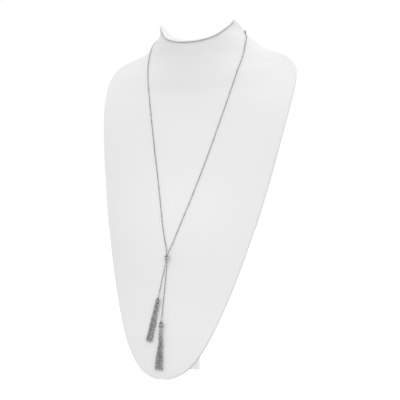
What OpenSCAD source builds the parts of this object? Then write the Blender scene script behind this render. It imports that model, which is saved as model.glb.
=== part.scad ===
// Tassel necklace on a neck bust.
// One fine cable chain is worn as an adjustable Y: it goes round the neck, both strands pass
// through a slider bead, and each end carries a tassel of fine chain. The bust is a plain
// padded form with a flat back, which leans on a rear strut.
// Millimetres. z = 0 is the table, the bust faces -y, and x = 0 is its middle.

/* [Neck bust] */
// Height of the bust, up to the two tips of its neck
bust_h = 451; // [437:1:467]
// Width of the bust over its shoulders
bust_w = 272; // [262:1:285]
// Height of the neck's rim at the middle of the front
rim_low = 423.3; // [421:0.1:428]
// Diameter of the piping under the rim
piping_d = 1.3; // [0.8:0.1:1.6]

/* [Easel strut] */
// Width of the rear strut where it is fixed to the back
strut_w = 44; // [40:1:60]
// Width of the strut's foot
strut_foot_w = 24; // [22:1:40]
// Thickness of the strut
strut_t = 6; // [5:0.5:8]
// How far the middle of the strut's foot stands behind the bust's toe
strut_foot_y = 81; // [79:1:100]
// Height at which the strut bends away from the back
strut_top = 200; // [180:1:220]

/* [Chain] */
// Width of the cable chain
chain_d = 1.4; // [1.2:0.1:1.5]
// Clearance between the chain and what it lies on
chain_gap = 0.25; // [0.2:0.05:0.3]

/* [Slider bead] */
// Diameter of the slider bead
slider_d = 6.2; // [6:0.1:7]
// Height of the slider bead
slider_h = 7; // [6.5:0.1:7.5]
// Bore that both strands pass through
slider_bore = 3.6; // [3.4:0.1:3.8]

/* [Tassels] */
// Diameter of a tassel's cap at its mouth
cap_d = 5.6; // [5.2:0.1:6]
// Height of a tassel's cap, without its eye
cap_h = 6.2; // [5.6:0.1:6.8]
// Length of the upper tassel, from the top of its cap to its longest strand
tassel_a_l = 54; // [48:1:58]
// Length of the lower tassel
tassel_b_l = 58.5; // [52:1:62]
// Lean of the upper tassel from upright
tassel_a_lean = 8.8; // [0:0.1:11]
// Width of the upper tassel at its strands' ends
tassel_a_w = 10.5; // [8:0.5:11]
// Width of the lower tassel at its strands' ends
tassel_b_w = 12; // [8:0.5:13]

/* [Hidden] */

// The bust's level sections. Its rim is a narrow band, from the front edge to the flat back.
// The front of a section bulges by its depth from the line between its two front edges, as
// depth * (1 - (x / half width)^2) ^ fullness.
Z = 0;
HALF_W = 1;
EDGE = 2;
BACK = 3;
DEPTH = 4;
FULL = 5;
SECTIONS = [
    [0, 8, -5.4, -0.4, 0.6, 1],
    [1, 12, -5.1, 0, 0.8, 1],
    [3, 17.3, -4.6, 0.7, 1.2, 1],
    [8, 27, -3.4, 2.1, 2.2, 1],
    [15, 35.4, -1.5, 3.9, 3.4, 1],
    [25, 43.9, 1.2, 6.2, 5.1, 1],
    [36, 51.2, 4.3, 9, 6.7, 1],
    [50, 58.7, 8.2, 12.6, 8.8, 1],
    [75, 69.1, 15.4, 19.8, 11.6, 1],
    [100, 78.2, 22.4, 26.8, 14.6, 1],
    [125, 86.2, 29.1, 33.5, 17.9, 1],
    [150, 93.6, 35.6, 40, 20.8, 1],
    [175, 100.3, 42.2, 46.6, 22.3, 1],
    [200, 106.4, 48.9, 53.3, 21.8, 1],
    [225, 112, 55.4, 59.8, 20.2, 1],
    [250, 117.4, 61.5, 65.9, 18.7, 1],
    [275, 122.4, 67.3, 71.7, 17.6, 1],
    [300, 127, 73.5, 77.9, 17.3, 1],
    [325, 131.3, 80.8, 85.2, 18.3, 1],
    [345, 134, 87.9, 92.3, 21.2, 1.1],
    [360, 135.3, 94, 98.4, 24.9, 1.33],
    [374, 135.5, 100.2, 104.6, 30.2, 1.5],
    [385, 133, 105, 109.4, 34.1, 1.64],
    [394, 127.1, 108.5, 113.2, 37.2, 1.8],
    [401, 118.9, 110.6, 115.6, 39.2, 1.77],
    [406, 108.5, 111.9, 117.6, 40.5, 1.57],
    [410, 97, 112.8, 119.1, 41.5, 1.26],
    [415, 84.8, 113.7, 120.8, 42.5, 0.94],
    [421, 76.3, 114.5, 122.6, 43.5, 0.765],
    [428, 68.2, 115.2, 123.9, 44.4, 0.61],
    [436, 59.9, 115.4, 124.1, 44.9, 0.5],
    [443, 58, 115, 124.2, 44.7, 0.5],
    [451, 57.5, 114, 124.5, 44, 0.5]];
LAST = len(SECTIONS) - 1;
// The row from which the rings of the bust bend up to follow the neck's rim
NECK_ROW = 23;
// Size that the table is written for
TABLE_H = 451;
TABLE_HALF_W = 136;
high = bust_h / TABLE_H;
wide = bust_w / 2 / TABLE_HALF_W;
// The sides of the neck run in towards the back by this much, from one level up to another
tuck = 5;
tuck_from = 424 * high;
tuck_to = 437 * high;

// The model's origin lies in the middle of its depth, this far behind the bust's toe
middle_y = 58.8;
// Steps across the front, of equal angle, so that one of them falls on the rim's tip
COLUMNS = 30;
TIP_ANGLE = 66;
// Rings between two rows of the table, and from the neck's row to the rim
HALVES = 2;
NECK_RINGS = 10;
// The rim climbs to its tips in a wide bow, and in a steep one close to them
rim_bow = 2;
rim_bow_share = 0.8;
rim_steep = 16;
// Heights of the rim at the neck's side, and of its rear edge
rim_side = 439.2 * high;
rim_back_corner = 437.2 * high;
rim_back_low = 431 * high;

// The chain's route: x, z, and how far it rises from its bed. The right strand starts at the
// slider and ends where the chain leaves the front of the neck. The left one mirrors it.
X = 0;
ZED = 1;
RISE = 2;
STRAND = [
    [1.3, 153.5, 1.7], [2.5, 158, 0.6], [5.4, 166, 0], [11.4, 185, 0], [20.2, 215, 0],
    [28.7, 245, 0], [37.1, 275, 0], [45, 305, 0], [52.7, 335, 0], [57.9, 356, 0],
    [62.5, 376, 0], [65.2, 389, 0.1], [66.7, 397, 0.2], [67.6, 406, 0.2], [67.5, 414, 0.2],
    [67.3, 420.5, 0.2], [66.4, 426, 0.2], [65.1, 429, 0.2], [63.7, 431, 0.2]];
// From the side of the neck to the middle of its back: x, how far behind the back, and z
BEHIND = 1;
UP = 2;
NAPE = [
    [62.2, -13.4, 434.6], [61.2, -12.2, 436.4], [60.7, -10.4, 437.4], [60.7, -8.4, 437.8],
    [59.4, -4.4, 437.3], [57.9, 0.1, 436.4], [57.1, 1, 436.1], [55.8, 1.2, 435.8],
    [53.8, 1.5, 435.3], [44, 2, 433], [30, 2.7, 430.5], [15, 3.3, 428.6], [0, 3.5, 428]];
// From the slider down to the upper tassel and to the lower one
DROP_A = [
    [-2.1, 140.4, 1.7], [-3.2, 136.4, 0.6], [-4.4, 131, 0], [-5.6, 125, 0], [-6.8, 118.5, 0],
    [-7.9, 111, 0], [-8.4, 107, 0.5], [-8.7, 104, 1.3], [-8.7, 101.3, 2]];
DROP_B = [
    [-0.1, 140.4, 1.7], [-0.8, 136.4, 0.6], [-1.3, 131, 0], [-1.6, 122, 0], [-2, 112, 0],
    [-2.4, 102, 0], [-2.8, 91, 0], [-2.8, 82, 0], [-2.7, 78.5, 0.5], [-2.6, 76, 1.2],
    [-2.5, 73.3, 2]];
chain_sides = 8;
// Half the distance between the two strands inside the bead, and the share of the bead's
// height that they run straight to either side of its middle
strand_half = 0.8;
slider_run = 0.56;
slider_z = 147;
slider_gap = 0.2;
// The bead has slid this far to one side, and the strands follow it up to this height
slider_x = -0.6;
aside_to = 215;
// Angle between two points of a turned outline
turn_step = 15;

// The tassels: place of the top of the cap, and the locks that its strands fall into.
// A lock has its place across the ends, its layer from the bust, and its share of the length.
top_a = [-9.3, 97];
top_b = [-2.5, 69];
PLACE = 0;
LAYER = 1;
LENGTH = 2;
LOCKS_A = [
    [-0.9, 0, 0.94], [-0.3, 0, 0.98], [0.3, 0, 0.97], [0.9, 0, 0.99],
    [-0.62, 1, 0.96], [0, 1, 1], [0.62, 1, 0.99]];
LOCKS_B = [
    [-0.95, 0, 0.97], [-0.42, 0, 0.98], [0.42, 0, 1], [0.95, 0, 0.99],
    [-0.68, 1, 0.96], [-0.18, 1, 0.93], [0.62, 1, 1]];
lock_sides = 7;
lock_steps = 9;
lock_head_r = 0.85;
lock_end_r = 1.5;
// A lock reaches its full thickness and its place above the bust at these shares of its
// length, and its last ring is drawn in
lock_full_at = 0.7;
lock_settled_at = 0.6;
lock_tip = 0.85;
lock_fan = 0.8;
// Height of the two layers of locks at their ends, and how close they start to the axis
LAYER_LIFT = [1.75, 3.9];
head_r = 1.95;
head_taper = 0.9;
head_sides = 12;
head_gather = 0.8;
cap_gap = 0.2;
cap_lift = cap_d / 2 + cap_gap;
// Depth of the cap's hollow from its mouth, and where the strands' head and locks begin in it
cap_hollow = 4.2;
head_top = cap_h - cap_hollow + cap_gap;
head_l = 3.4;
lock_top = head_top + 0.4;
eye_r = 0.95;
eye_wire = 0.6;
ring_r = 1.5;
ring_wire = 0.5;

CURVE_FN = 48;
RING_FN = 32;
WIRE_FN = 16;

// Interpolation in the table of sections

function knot(i, c) = SECTIONS[i][c] * (c == Z ? high : c == HALF_W ? wide : 1);

function row_below(z, i = 0) = i >= LAST - 1 || z < knot(i + 1, Z) ? i : row_below(z, i + 1);

function knot_slope(i, c) =
    let (a = max(i - 1, 0), b = min(i + 1, LAST))
    (knot(b, c) - knot(a, c)) / (knot(b, Z) - knot(a, Z));

function section(z, c) =
    let (i = row_below(z),
        h = knot(i + 1, Z) - knot(i, Z),
        t = min(1, max(0, (z - knot(i, Z)) / h)))
    (1 + 2 * t) * pow(1 - t, 2) * knot(i, c) + t * pow(1 - t, 2) * h * knot_slope(i, c)
        + t * t * (3 - 2 * t) * knot(i + 1, c) + t * t * (t - 1) * h * knot_slope(i + 1, c);

// The bust's faces

function back_y(z) = section(z, BACK);

function front_y(x, z) =
    let (u = x / section(z, HALF_W))
    section(z, EDGE) - section(z, DEPTH) * pow(max(0, 1 - u * u), section(z, FULL));

function unit(v) = v / norm(v);

function outward(x, z) =
    let (e = 0.2,
        across = (front_y(x + e, z) - front_y(x - e, z)) / (2 * e),
        upward = (front_y(x, z + e) - front_y(x, z - e)) / (2 * e))
    unit([across, -1, upward]);

// A point at a height above the front of the bust
function on_bust(x, z, lift) = [x, front_y(x, z), z] + lift * outward(x, z);

function across(j) = sin(-90 + 180 * j / COLUMNS);

function rim_front(u) =
    let (v = abs(u) / sin(TIP_ANGLE))
    v <= 1 ? rim_low * high + (bust_h - rim_low * high)
            * (rim_bow_share * pow(v, rim_bow) + (1 - rim_bow_share) * pow(v, rim_steep))
        : rim_side + (bust_h - rim_side) * sqrt(max(0, 1 - u * u)) / cos(TIP_ANGLE);

function rim_back(u) = rim_back_low + (rim_back_corner - rim_back_low) * pow(abs(u), 1.5);

function mix(a, b, t) = a + (b - a) * t;

function back_half_w(z) =
    section(z, HALF_W) - tuck * min(1, max(0, (z - tuck_from) / (tuck_to - tuck_from)));

body_heights = [
    for (i = [0 : NECK_ROW - 1], k = [0 : HALVES - 1]) mix(knot(i, Z), knot(i + 1, Z), k / HALVES)];
neck_z = knot(NECK_ROW, Z);

function ring_at(z_front, z_back) = concat(
    [for (j = [0 : COLUMNS])
        let (x = across(j) * section(z_front[j], HALF_W))
        [x, front_y(x, z_front[j]), z_front[j]]],
    [for (j = [COLUMNS : -1 : 0])
        [across(j) * back_half_w(z_back[j]), back_y(z_back[j]), z_back[j]]]);

function level_ring(z) =
    let (same = [for (j = [0 : COLUMNS]) z])
    ring_at(same, same);

function neck_ring(v) = ring_at(
    [for (j = [0 : COLUMNS]) mix(neck_z, rim_front(across(j)), v)],
    [for (j = [0 : COLUMNS]) mix(neck_z, rim_back(across(j)), v)]);

bust_rings = concat(
    [for (z = body_heights) level_ring(z)],
    [for (k = [0 : NECK_RINGS]) neck_ring(k / NECK_RINGS)]);

// Skins over rings of points

function joined(rings) = [for (r = rings) each r];

function side_faces(rings, n) = [
    for (i = [0 : len(rings) - 2], j = [0 : n - 1])
        let (a = i * n + j, b = i * n + (j + 1) % n)
        each [[a, a + n, b], [b, a + n, b + n]]];

function frame_sides(route, i, side) =
    i >= len(route) ? []
        : let (t = heading(route, i), s = unit(side - (side * t) * t))
        concat([s], frame_sides(route, i + 1, s));

function heading(route, i) =
    unit(route[min(i + 1, len(route) - 1)] - route[max(i - 1, 0)]);

// A tube with a radius for each point of its route
module tube(route, radii, sides) {
    first = unit(cross(heading(route, 0), [0, 1, 0.1]));
    across_route = frame_sides(route, 0, first);
    rings = [
        for (i = [0 : len(route) - 1])
            let (s = across_route[i], u = cross(heading(route, i), s))
            [for (k = [0 : sides - 1])
                let (turn = 360 * (k + 0.5) / sides)
                route[i] + radii[i] * (cos(turn) * s + sin(turn) * u)]];
    last = (len(route) - 1) * sides;
    polyhedron(joined(rings), concat(
        side_faces(rings, sides),
        [[for (k = [0 : sides - 1]) k]],
        [[for (k = [sides - 1 : -1 : 0]) last + k]]), convexity = 6);
}

// Puts a child that stands on z = 0 at a point, with its z axis along up and y axis near face
module stand(point, up, face) {
    z_axis = unit(up);
    x_axis = unit(cross(face, z_axis));
    y_axis = cross(z_axis, x_axis);
    multmatrix([
        [x_axis[0], y_axis[0], z_axis[0], point[0]],
        [x_axis[1], y_axis[1], z_axis[1], point[1]],
        [x_axis[2], y_axis[2], z_axis[2], point[2]],
        [0, 0, 0, 1]]) children();
}

// The necklace's route

function bed(p) = on_bust(p[X] * wide, p[ZED] * high, chain_d / 2 + chain_gap + p[RISE]);

function mirrored(p) = [-p[0], p[1], p[2]];

// A point of the right strand, or of its mirror image, moved aside with the bead
function strand_bed(p, side) =
    let (follows = min(1, max(0, (aside_to - p[ZED]) / (aside_to - slider_z))))
    bed([side * p[X] + slider_x * follows, p[ZED], p[RISE]]);

slider_lift = slider_d / 2 + slider_gap;
slider_at = on_bust(slider_x, slider_z * high, slider_lift);
slider_up = unit(on_bust(slider_x, (slider_z + 4) * high, slider_lift)
    - on_bust(slider_x, (slider_z - 4) * high, slider_lift));

function in_slider(side) = [
    for (t = [-slider_run, 0, slider_run])
        slider_at + slider_h * t * slider_up + [side * strand_half, 0, 0]];

nape = [for (p = NAPE) [p[X] * wide, back_y(p[UP] * high) + p[BEHIND], p[UP] * high]];
drop_a = [for (p = DROP_A) bed(p)];
drop_b = [for (p = DROP_B) bed(p)];

function reversed(list) = [for (i = [len(list) - 1 : -1 : 0]) list[i]];

chain_route = concat(
    reversed(drop_a), in_slider(-1), [for (p = STRAND) strand_bed(p, -1)],
    [for (p = nape) mirrored(p)], [for (i = [len(nape) - 2 : -1 : 0]) nape[i]],
    reversed([for (p = STRAND) strand_bed(p, 1)]), reversed(in_slider(1)), drop_b);

// Tassels: the axis goes down the bust from the top of the cap

function axis_point(top, lean, along, lift) = on_bust(
    top[0] * wide - along * sin(lean), top[1] * high - along * cos(lean), lift);

function cap_top(top, lean) = axis_point(top, lean, 0, cap_lift);

function cap_up(top, lean) = unit(cap_top(top, lean) - axis_point(top, lean, cap_h, cap_lift));

function lock_route(top, lean, l, w, lock) = [
    for (k = [0 : lock_steps])
        let (along = mix(lock_top, l * lock[LENGTH], k / lock_steps),
            t = max(0, (along - cap_h) / (l * lock[LENGTH] - cap_h)),
            ends = (w / 2 - lock_end_r) * lock[PLACE],
            starts = head_gather * lock[PLACE],
            aside = mix(starts, ends, pow(t, lock_fan)),
            start_lift = cap_lift + head_gather * (lock[LAYER] - 0.5),
            lift = mix(start_lift, LAYER_LIFT[lock[LAYER]], min(1, t / lock_settled_at)))
        on_bust(
            top[0] * wide - along * sin(lean) + aside * cos(lean),
            top[1] * high - along * cos(lean) - aside * sin(lean), lift)];

lock_radii = [
    for (k = [0 : lock_steps])
        mix(lock_head_r, lock_end_r, min(1, k / lock_steps / lock_full_at))
            * (k == lock_steps ? lock_tip : 1)];

module tassel_strands(top, lean, l, w, locks) {
    up = cap_up(top, lean);
    head = cap_top(top, lean) - head_top * up;
    union() {
        tube([head, head - head_l * up], [head_r, head_r * head_taper], head_sides);
        for (lock = locks) tube(lock_route(top, lean, l, w, lock), lock_radii, lock_sides);
    }
}

// The cap is a bell with a thicker mouth and an eye on its top
module tassel_cap(top, lean) {
    r = cap_d / 2;
    rim_h = 1;
    neck_r = r - 0.35;
    dome_reach = 60;
    inner_r = head_r + cap_gap;
    up = cap_up(top, lean);
    dome_base = cap_h - neck_r * sin(dome_reach);
    stand(cap_top(top, lean) - cap_h * up, up, outward(top[0], top[1])) union() {
        rotate_extrude($fn = CURVE_FN) polygon(concat(
            [[inner_r, 0], [r, 0], [r, rim_h], [neck_r, rim_h + r - neck_r]],
            [for (a = [0 : turn_step : dome_reach])
                [neck_r * cos(a), dome_base + neck_r * sin(a)]],
            [[0, cap_h], [0, cap_hollow], [inner_r, cap_hollow]]));
        translate([0, 0, cap_h + eye_r - eye_wire / 2]) rotate([0, 90, 0])
            rotate_extrude($fn = RING_FN) translate([eye_r, 0]) circle(d = eye_wire, $fn = WIRE_FN);
    }
}

module jump_ring(top, lean) {
    up = cap_up(top, lean);
    eye_middle = eye_r - eye_wire / 2;
    stand(cap_top(top, lean) + (eye_middle + ring_r) * up, outward(top[0], top[1]), up)
        rotate_extrude($fn = RING_FN) translate([ring_r, 0]) circle(d = ring_wire, $fn = WIRE_FN);
}

// Nodes

// Moves a child so that the origin is under the middle of the whole
module placed() {
    translate([0, -middle_y, 0]) children();
}

module neck_bust() {
    n = 2 * (COLUMNS + 1);
    top_ring = (len(bust_rings) - 1) * n;
    color("whitesmoke") placed() polyhedron(joined(bust_rings), concat(
        side_faces(bust_rings, n),
        [[for (k = [0 : n - 1]) k]],
        [for (j = [0 : COLUMNS - 1])
            let (a = top_ring + j, b = top_ring + n - 1 - j)
            each [[a, b, a + 1], [a + 1, b, b - 1]]]), convexity = 4);
}

module neck_piping() {
    gap = 0.25;
    below_rim = 2.1;
    steps = 40;
    sides = 6;
    reach = TIP_ANGLE - 1;
    route = [
        for (k = [0 : steps])
            let (u = sin(mix(-reach, reach, k / steps)), z = rim_front(u) - below_rim)
            on_bust(u * section(z, HALF_W), z, piping_d / 2 + gap)];
    color("darkgray") placed() tube(route, [for (p = route) piping_d / 2], sides);
}

// The strut is fixed to the back by its upper end, and bends away from it and narrows below
module easel_strut() {
    gap = 0.25;
    pad_h = 30;
    pad_t = 2.5;
    foot_half = strut_t / 2;
    bend_y = back_y(strut_top) + gap;
    pad_y = back_y(strut_top + pad_h) + gap;
    whole_h = strut_top + pad_h;
    color("whitesmoke") placed() intersection() {
        translate([-strut_w / 2, 0, 0]) rotate([90, 0, 90]) linear_extrude(strut_w) polygon([
            [pad_y, whole_h],
            [bend_y, strut_top],
            [strut_foot_y - foot_half, 0],
            [strut_foot_y + foot_half, 0],
            [bend_y + strut_t, strut_top],
            [pad_y + pad_t, whole_h]]);
        rotate([90, 0, 0]) translate([0, 0, -2 * strut_foot_y]) linear_extrude(2 * strut_foot_y) polygon([
            [-strut_foot_w / 2, 0],
            [strut_foot_w / 2, 0],
            [strut_w / 2, strut_top],
            [strut_w / 2, whole_h],
            [-strut_w / 2, whole_h],
            [-strut_w / 2, strut_top]]);
    }
}

module chain() {
    color("silver") placed() tube(chain_route, [for (p = chain_route) chain_d / 2], chain_sides);
}

module slider_bead() {
    r = slider_d / 2;
    straight = slider_h - slider_d;
    face = outward(slider_x, slider_z);
    color("silver") placed() stand(slider_at - slider_h / 2 * slider_up, slider_up, face)
        difference() {
            rotate_extrude($fn = CURVE_FN) polygon(concat(
                [[0, 0]],
                [for (a = [turn_step - 90 : turn_step : 0]) [r * cos(a), r + r * sin(a)]],
                [for (a = [0 : turn_step : 90 - turn_step])
                    [r * cos(a), r + straight + r * sin(a)]],
                [[0, slider_h]]));
            translate([0, 0, -1]) cylinder(d = slider_bore, h = slider_h + 2, $fn = CURVE_FN);
        }
}

module tassel_a_ring() {
    color("silver") placed() jump_ring(top_a, tassel_a_lean);
}

module tassel_a_cap() {
    color("silver") placed() tassel_cap(top_a, tassel_a_lean);
}

module tassel_a_strands() {
    color("gray") placed() tassel_strands(top_a, tassel_a_lean, tassel_a_l, tassel_a_w, LOCKS_A);
}

module tassel_b_ring() {
    color("silver") placed() jump_ring(top_b, 0);
}

module tassel_b_cap() {
    color("silver") placed() tassel_cap(top_b, 0);
}

module tassel_b_strands() {
    color("gray") placed() tassel_strands(top_b, 0, tassel_b_l, tassel_b_w, LOCKS_B);
}

neck_bust();
neck_piping();
easel_strut();
chain();
slider_bead();
tassel_a_ring();
tassel_a_cap();
tassel_a_strands();
tassel_b_ring();
tassel_b_cap();
tassel_b_strands();
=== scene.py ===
"""Tassel necklace on a neck bust: the looks of every piece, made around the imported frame.

Lengths are millimetres up to mesh_piece(), which turns them into metres. The table is z = 0,
the bust faces -y, and x = 0 is its middle. Angles are degrees where a name ends in _deg.
"""

import math

import bpy
import numpy as np
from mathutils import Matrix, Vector


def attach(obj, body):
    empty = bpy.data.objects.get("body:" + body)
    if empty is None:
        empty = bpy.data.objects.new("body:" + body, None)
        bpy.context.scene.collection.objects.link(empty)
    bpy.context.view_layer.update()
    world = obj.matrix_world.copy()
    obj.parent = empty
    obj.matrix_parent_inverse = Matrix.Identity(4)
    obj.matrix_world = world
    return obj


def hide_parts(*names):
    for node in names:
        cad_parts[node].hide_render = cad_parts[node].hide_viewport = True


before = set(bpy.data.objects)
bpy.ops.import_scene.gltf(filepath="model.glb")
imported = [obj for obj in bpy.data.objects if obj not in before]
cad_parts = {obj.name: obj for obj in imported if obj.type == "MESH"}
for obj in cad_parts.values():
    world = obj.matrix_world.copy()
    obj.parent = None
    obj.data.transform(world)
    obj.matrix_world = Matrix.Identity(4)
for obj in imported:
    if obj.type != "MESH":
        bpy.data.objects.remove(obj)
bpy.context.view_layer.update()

MM = 0.001
rng = np.random.default_rng(11)


# Shapes of arrays


def unit(v):
    """Vectors divided by their lengths."""
    return v / np.linalg.norm(v, axis=-1, keepdims=True)


def mix(a, b, t):
    """The value a share t of the way from a to b."""
    return a + (b - a) * t


def ease(t):
    """Goes from 0 to 1 with level ends, as t goes from 0 to 1."""
    t = np.clip(t, 0, 1)
    return t * t * (3 - 2 * t)


def curve_through(points, steps):
    """A Catmull-Rom curve: each span is a cubic whose end slopes are half the chord between the
    neighbours of its two points. The ends repeat their own point."""
    p = np.asarray(points, float)
    p = np.concatenate([p[:1], p, p[-1:]])
    t = (np.arange(steps) / steps)[None, :, None]
    a, b, c, d = (p[k : len(p) - 3 + k, None, :] for k in range(4))
    spans = 0.5 * (
        2 * b + (c - a) * t + (2 * a - 5 * b + 4 * c - d) * t**2 + (3 * b - a - 3 * c + d) * t**3
    )
    return np.concatenate([spans.reshape(-1, p.shape[1]), p[-1:]])


def lengths_along(path):
    """The distance along a path from its start to each of its points."""
    return np.concatenate([[0], np.cumsum(np.linalg.norm(np.diff(path, axis=0), axis=1))])


def walk(path, values, stations):
    """Values that belong to a path's points, read between them at distances from its start."""
    along = lengths_along(path)
    return np.stack([np.interp(stations, along, column) for column in values.T], -1)


def frames_along(path, facing):
    """Three unit vectors for each point of a path: the way it runs, the way it faces, which is
    facing less its part along the path, and the way across."""
    run = unit(np.gradient(path, axis=0))
    across = unit(np.cross(run, facing))
    return run, np.cross(across, run), across


def grid_faces(rows, columns, closed_rows=False, closed_columns=False):
    """Four-sided faces between the points of a grid, which may close on itself either way."""
    i = np.arange(rows if closed_rows else rows - 1)[:, None]
    j = np.arange(columns if closed_columns else columns - 1)[None, :]
    down, right = (i + 1) % rows, (j + 1) % columns
    return np.stack(
        [i * columns + j, i * columns + right, down * columns + right, down * columns + j], -1
    ).reshape(-1, 4)


# The bust's form, as its construction has it. A row is one level: its height, half its width,
# where the side edge and the flat back stand, how far the front bulges before the side edge, and
# the fullness of the bulge.

MIDDLE_Y = 58.8
Z, HALF_W, EDGE, BACK, DEPTH, FULL = range(6)
SECTIONS = np.array([
    (0, 8, -5.4, -0.4, 0.6, 1),
    (1, 12, -5.1, 0, 0.8, 1),
    (3, 17.3, -4.6, 0.7, 1.2, 1),
    (8, 27, -3.4, 2.1, 2.2, 1),
    (15, 35.4, -1.5, 3.9, 3.4, 1),
    (25, 43.9, 1.2, 6.2, 5.1, 1),
    (36, 51.2, 4.3, 9, 6.7, 1),
    (50, 58.7, 8.2, 12.6, 8.8, 1),
    (75, 69.1, 15.4, 19.8, 11.6, 1),
    (100, 78.2, 22.4, 26.8, 14.6, 1),
    (125, 86.2, 29.1, 33.5, 17.9, 1),
    (150, 93.6, 35.6, 40, 20.8, 1),
    (175, 100.3, 42.2, 46.6, 22.3, 1),
    (200, 106.4, 48.9, 53.3, 21.8, 1),
    (225, 112, 55.4, 59.8, 20.2, 1),
    (250, 117.4, 61.5, 65.9, 18.7, 1),
    (275, 122.4, 67.3, 71.7, 17.6, 1),
    (300, 127, 73.5, 77.9, 17.3, 1),
    (325, 131.3, 80.8, 85.2, 18.3, 1),
    (345, 134, 87.9, 92.3, 21.2, 1.1),
    (360, 135.3, 94, 98.4, 24.9, 1.33),
    (374, 135.5, 100.2, 104.6, 30.2, 1.5),
    (385, 133, 105, 109.4, 34.1, 1.64),
    (394, 127.1, 108.5, 113.2, 37.2, 1.8),
    (401, 118.9, 110.6, 115.6, 39.2, 1.77),
    (406, 108.5, 111.9, 117.6, 40.5, 1.57),
    (410, 97, 112.8, 119.1, 41.5, 1.26),
    (415, 84.8, 113.7, 120.8, 42.5, 0.94),
    (421, 76.3, 114.5, 122.6, 43.5, 0.765),
    (428, 68.2, 115.2, 123.9, 44.4, 0.61),
    (436, 59.9, 115.4, 124.1, 44.9, 0.5),
    (443, 58, 115, 124.2, 44.7, 0.5),
    (451, 57.5, 114, 124.5, 44, 0.5)], float)

# The neck, which runs from NECK_Z up to its rim. Its rear edge is TUCK narrower on each side above
# the second of two levels. The front rim has its tips TIP_DEG round from the middle.

NECK_Z = 394
TUCK = 5
TUCK_LEVELS = (424, 437)
BUST_H = 451
TIP_DEG = 66
RIM_LOW = 423.3
RIM_BOW = 2
RIM_BOW_SHARE = 0.8
RIM_STEEP = 16
RIM_SIDE = 439.2
RIM_BACK_LOW = 431
RIM_BACK_CORNER = 437.2
RIM_BACK_BOW = 1.5
SLOPE_STEP = 0.2


def section(z, column):
    """A column of the table at any height, by a cubic between its rows whose slopes come from
    the rows on either side."""
    rows, values = SECTIONS[:, Z], SECTIONS[:, column]
    before = np.maximum(np.arange(len(rows)) - 1, 0)
    after = np.minimum(np.arange(len(rows)) + 1, len(rows) - 1)
    slopes = (values[after] - values[before]) / (rows[after] - rows[before])
    z = np.clip(z, rows[0], rows[-1])
    i = np.clip(np.searchsorted(rows, z, side="right") - 1, 0, len(rows) - 2)
    h = rows[i + 1] - rows[i]
    t = (z - rows[i]) / h
    return (
        (1 + 2 * t) * (1 - t) ** 2 * values[i]
        + t * (1 - t) ** 2 * h * slopes[i]
        + t * t * (3 - 2 * t) * values[i + 1]
        + t * t * (t - 1) * h * slopes[i + 1]
    )


def front_y(x, z):
    """Depth of the front: edge - depth * (1 - (x / half width)^2) ^ fullness."""
    u = x / section(z, HALF_W)
    return section(z, EDGE) - section(z, DEPTH) * np.maximum(0, 1 - u * u) ** section(z, FULL)


def outward(x, z):
    """The way the front faces at a point, from its slopes across and upward."""
    e = SLOPE_STEP
    across = (front_y(x + e, z) - front_y(x - e, z)) / (2 * e)
    upward = (front_y(x, z + e) - front_y(x, z - e)) / (2 * e)
    return unit(np.stack([across, -np.ones_like(across), upward], -1))


def on_bust(x, z, lift):
    """The point at a height above the front of the bust."""
    x, z, lift = np.broadcast_arrays(*(np.asarray(v, float) for v in (x, z, lift)))
    return np.stack([x, front_y(x, z), z], -1) + lift[..., None] * outward(x, z)


def back_half_w(z):
    """Half the width at the back, where the sides of the neck have run in."""
    return section(z, HALF_W) - TUCK * np.interp(z, TUCK_LEVELS, (0, 1))


def rim_front(u):
    """Height of the neck's rim: a wide bow with a steep end up to each tip, then a straight fall
    to the side."""
    v = np.abs(u) / math.sin(math.radians(TIP_DEG))
    bow = RIM_BOW_SHARE * v**RIM_BOW + (1 - RIM_BOW_SHARE) * v**RIM_STEEP
    rise = RIM_LOW + (BUST_H - RIM_LOW) * bow
    share = np.sqrt(np.maximum(0, 1 - u * u)) / math.cos(math.radians(TIP_DEG))
    return np.where(v <= 1, rise, RIM_SIDE + (BUST_H - RIM_SIDE) * share)


def rim_back(u):
    """Height of the rear edge of the neck, lowest in the middle."""
    return RIM_BACK_LOW + (RIM_BACK_CORNER - RIM_BACK_LOW) * np.abs(u) ** RIM_BACK_BOW


# Meshes


def mesh_piece(name, points, faces, material, uv=None, sharp_deg=180.0):
    """A named object from points in millimetres in the bust's frame. Its faces are smooth but for
    edges sharper than sharp_deg. uv gives each point's place on a pattern: millimetres along and
    turns around."""
    points = np.asarray(points, float).reshape(-1, 3) - np.array([0, MIDDLE_Y, 0])
    mesh = bpy.data.meshes.new(name)
    if isinstance(faces, np.ndarray):
        faces = [faces]
    mesh.vertices.add(len(points))
    mesh.vertices.foreach_set("co", (points * MM).ravel())
    loops = np.concatenate([f.ravel() for f in faces])
    sizes = np.concatenate([np.full(len(f), f.shape[1]) for f in faces])
    mesh.loops.add(len(loops))
    mesh.loops.foreach_set("vertex_index", loops)
    mesh.polygons.add(len(sizes))
    mesh.polygons.foreach_set("loop_start", np.concatenate([[0], np.cumsum(sizes)[:-1]]))
    mesh.polygons.foreach_set("use_smooth", np.ones(len(sizes), bool))
    if uv is not None:
        layer = mesh.uv_layers.new(name=PATTERN)
        layer.data.foreach_set("uv", np.asarray(uv, np.float32).reshape(-1, 2)[loops].ravel())
    mesh.update(calc_edges=True)
    mesh.validate()
    if sharp_deg < 180:
        mesh.set_sharp_from_angle(angle=math.radians(sharp_deg))
    mesh.materials.append(material)
    piece = bpy.data.objects.new(name, mesh)
    bpy.context.scene.collection.objects.link(piece)
    return piece


def dress(piece, slot, *nodes):
    """Puts a piece on the one body, in place of CAD nodes. slot is not used."""
    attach(piece, "root")
    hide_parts(*nodes)


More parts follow.
